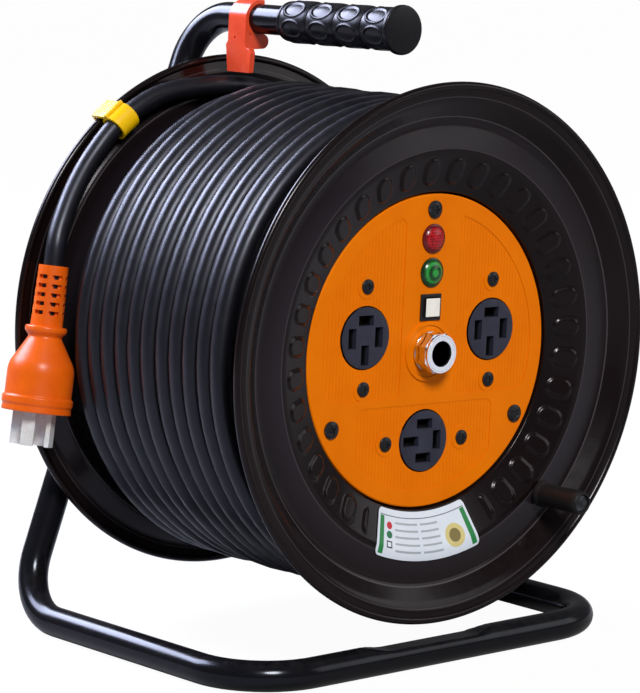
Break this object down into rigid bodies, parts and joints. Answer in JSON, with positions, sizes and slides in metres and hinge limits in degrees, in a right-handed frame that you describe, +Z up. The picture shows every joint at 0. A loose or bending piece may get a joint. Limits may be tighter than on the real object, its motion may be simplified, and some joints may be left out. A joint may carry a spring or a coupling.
{
  "type": "extension cord reel",
  "caption": "Extension cord reel: wound cord on a dished steel drum with outlets in its front panel, carried on a bent tube stand with a handle.",
  "frame": {"origin": "on the floor, under the middle of the reel's box", "axes": "+Z up, the front panel faces -Y, the drum turns about Y"},
  "size_m": [0.3613, 0.296, 0.4061],
  "materials": {
    "black_tube": "gloss black paint on steel tube",
    "zinc": "bright zinc plate",
    "grip_plastic": "satin moulded",
    "coral_plastic": "translucent moulded",
    "flange_paint": "gloss dark brown paint on pressed steel",
    "black_plastic": "moulded",
    "orange_panel": "fine moulded texture",
    "black_screw": "blackened",
    "outlet_plastic": "moulded",
    "contact_brass": "bare",
    "red_lens": "clear moulded lens",
    "green_lens": "clear moulded lens",
    "white_plastic": "moulded",
    "label": "printed film",
    "cord_rubber": "satin rubber sheath",
    "lead_insulation": "single-core insulation",
    "yellow_plastic": "moulded",
    "plug_rubber": "moulded rubber",
    "blade_nickel": "nickel plate"
  },
  "bodies": {
    "stand": {"base_tube": "black_tube", "handle_tube": "black_tube", "right_leg": "black_tube", "cross_plate": "black_tube", "axle": "zinc", "axle_rear_nut": "zinc", "axle_washer": "zinc", "axle_nut": "zinc", "handle_grip": "grip_plastic"},
    "reel_stop": {"reel_stop": "coral_plastic"},
    "drum": {"front_flange": "flange_paint", "rear_flange": "flange_paint", "drum_core": "flange_paint", "front_bush": "orange_panel", "rear_bush": "black_plastic", "front_panel": "orange_panel", "panel_screws": "black_screw", "outlet_left": "outlet_plastic", "outlet_right": "outlet_plastic", "outlet_bottom": "outlet_plastic", "outlet_left_contacts": "contact_brass", "outlet_right_contacts": "contact_brass", "outlet_bottom_contacts": "contact_brass", "outlet_screws": "black_screw", "red_lens": "red_lens", "green_lens": "green_lens", "lamp_holders": "black_plastic", "button_bezel": "black_plastic", "breaker_body": "black_plastic", "cord_gland": "cord_rubber", "inner_cord": "cord_rubber", "inner_leads": "lead_insulation", "rating_label": "label", "knob_bolt": "black_screw", "knob_nut": "black_screw", "cord_core": "cord_rubber", "cord_winding": "cord_rubber"},
    "reset_button": {"reset_button": "white_plastic"},
    "winding_knob": {"winding_knob": "grip_plastic"},
    "cord_end": {"cord_tail": "cord_rubber", "cord_clip": "yellow_plastic", "plug_relief": "plug_rubber", "plug_body": "plug_rubber", "plug_blades": "blade_nickel"}
  },
  "joints": [
    {"name": "drum_spin", "type": "hinge", "parent": "stand", "child": "drum", "pos_m": [0, -0.008, 0.19475], "axis": [0, 1, 0], "continuous": true},
    {"name": "knob_spin", "type": "hinge", "parent": "drum", "child": "winding_knob", "pos_m": [0.08951, -0.118, 0.09638], "axis": [0, 1, 0], "continuous": true},
    {"name": "button_press", "type": "slide", "parent": "drum", "child": "reset_button", "axis": [0, 1, 0], "range_m": [0, 0.002], "stiffness_N_per_m": 1500},
    {"name": "stop_swing", "type": "hinge", "parent": "stand", "child": "reel_stop", "pos_m": [0, 0.076, 0.38762], "axis": [0, 0.9998, -0.0209], "range_deg": [0, 100]},
    {"name": "cord_end_slide", "type": "hinge", "parent": "stand", "child": "cord_end", "pos_m": [0, 0.087, 0.19475], "axis": [0, -1, 0], "range_deg": [0, 35]}
  ]
}
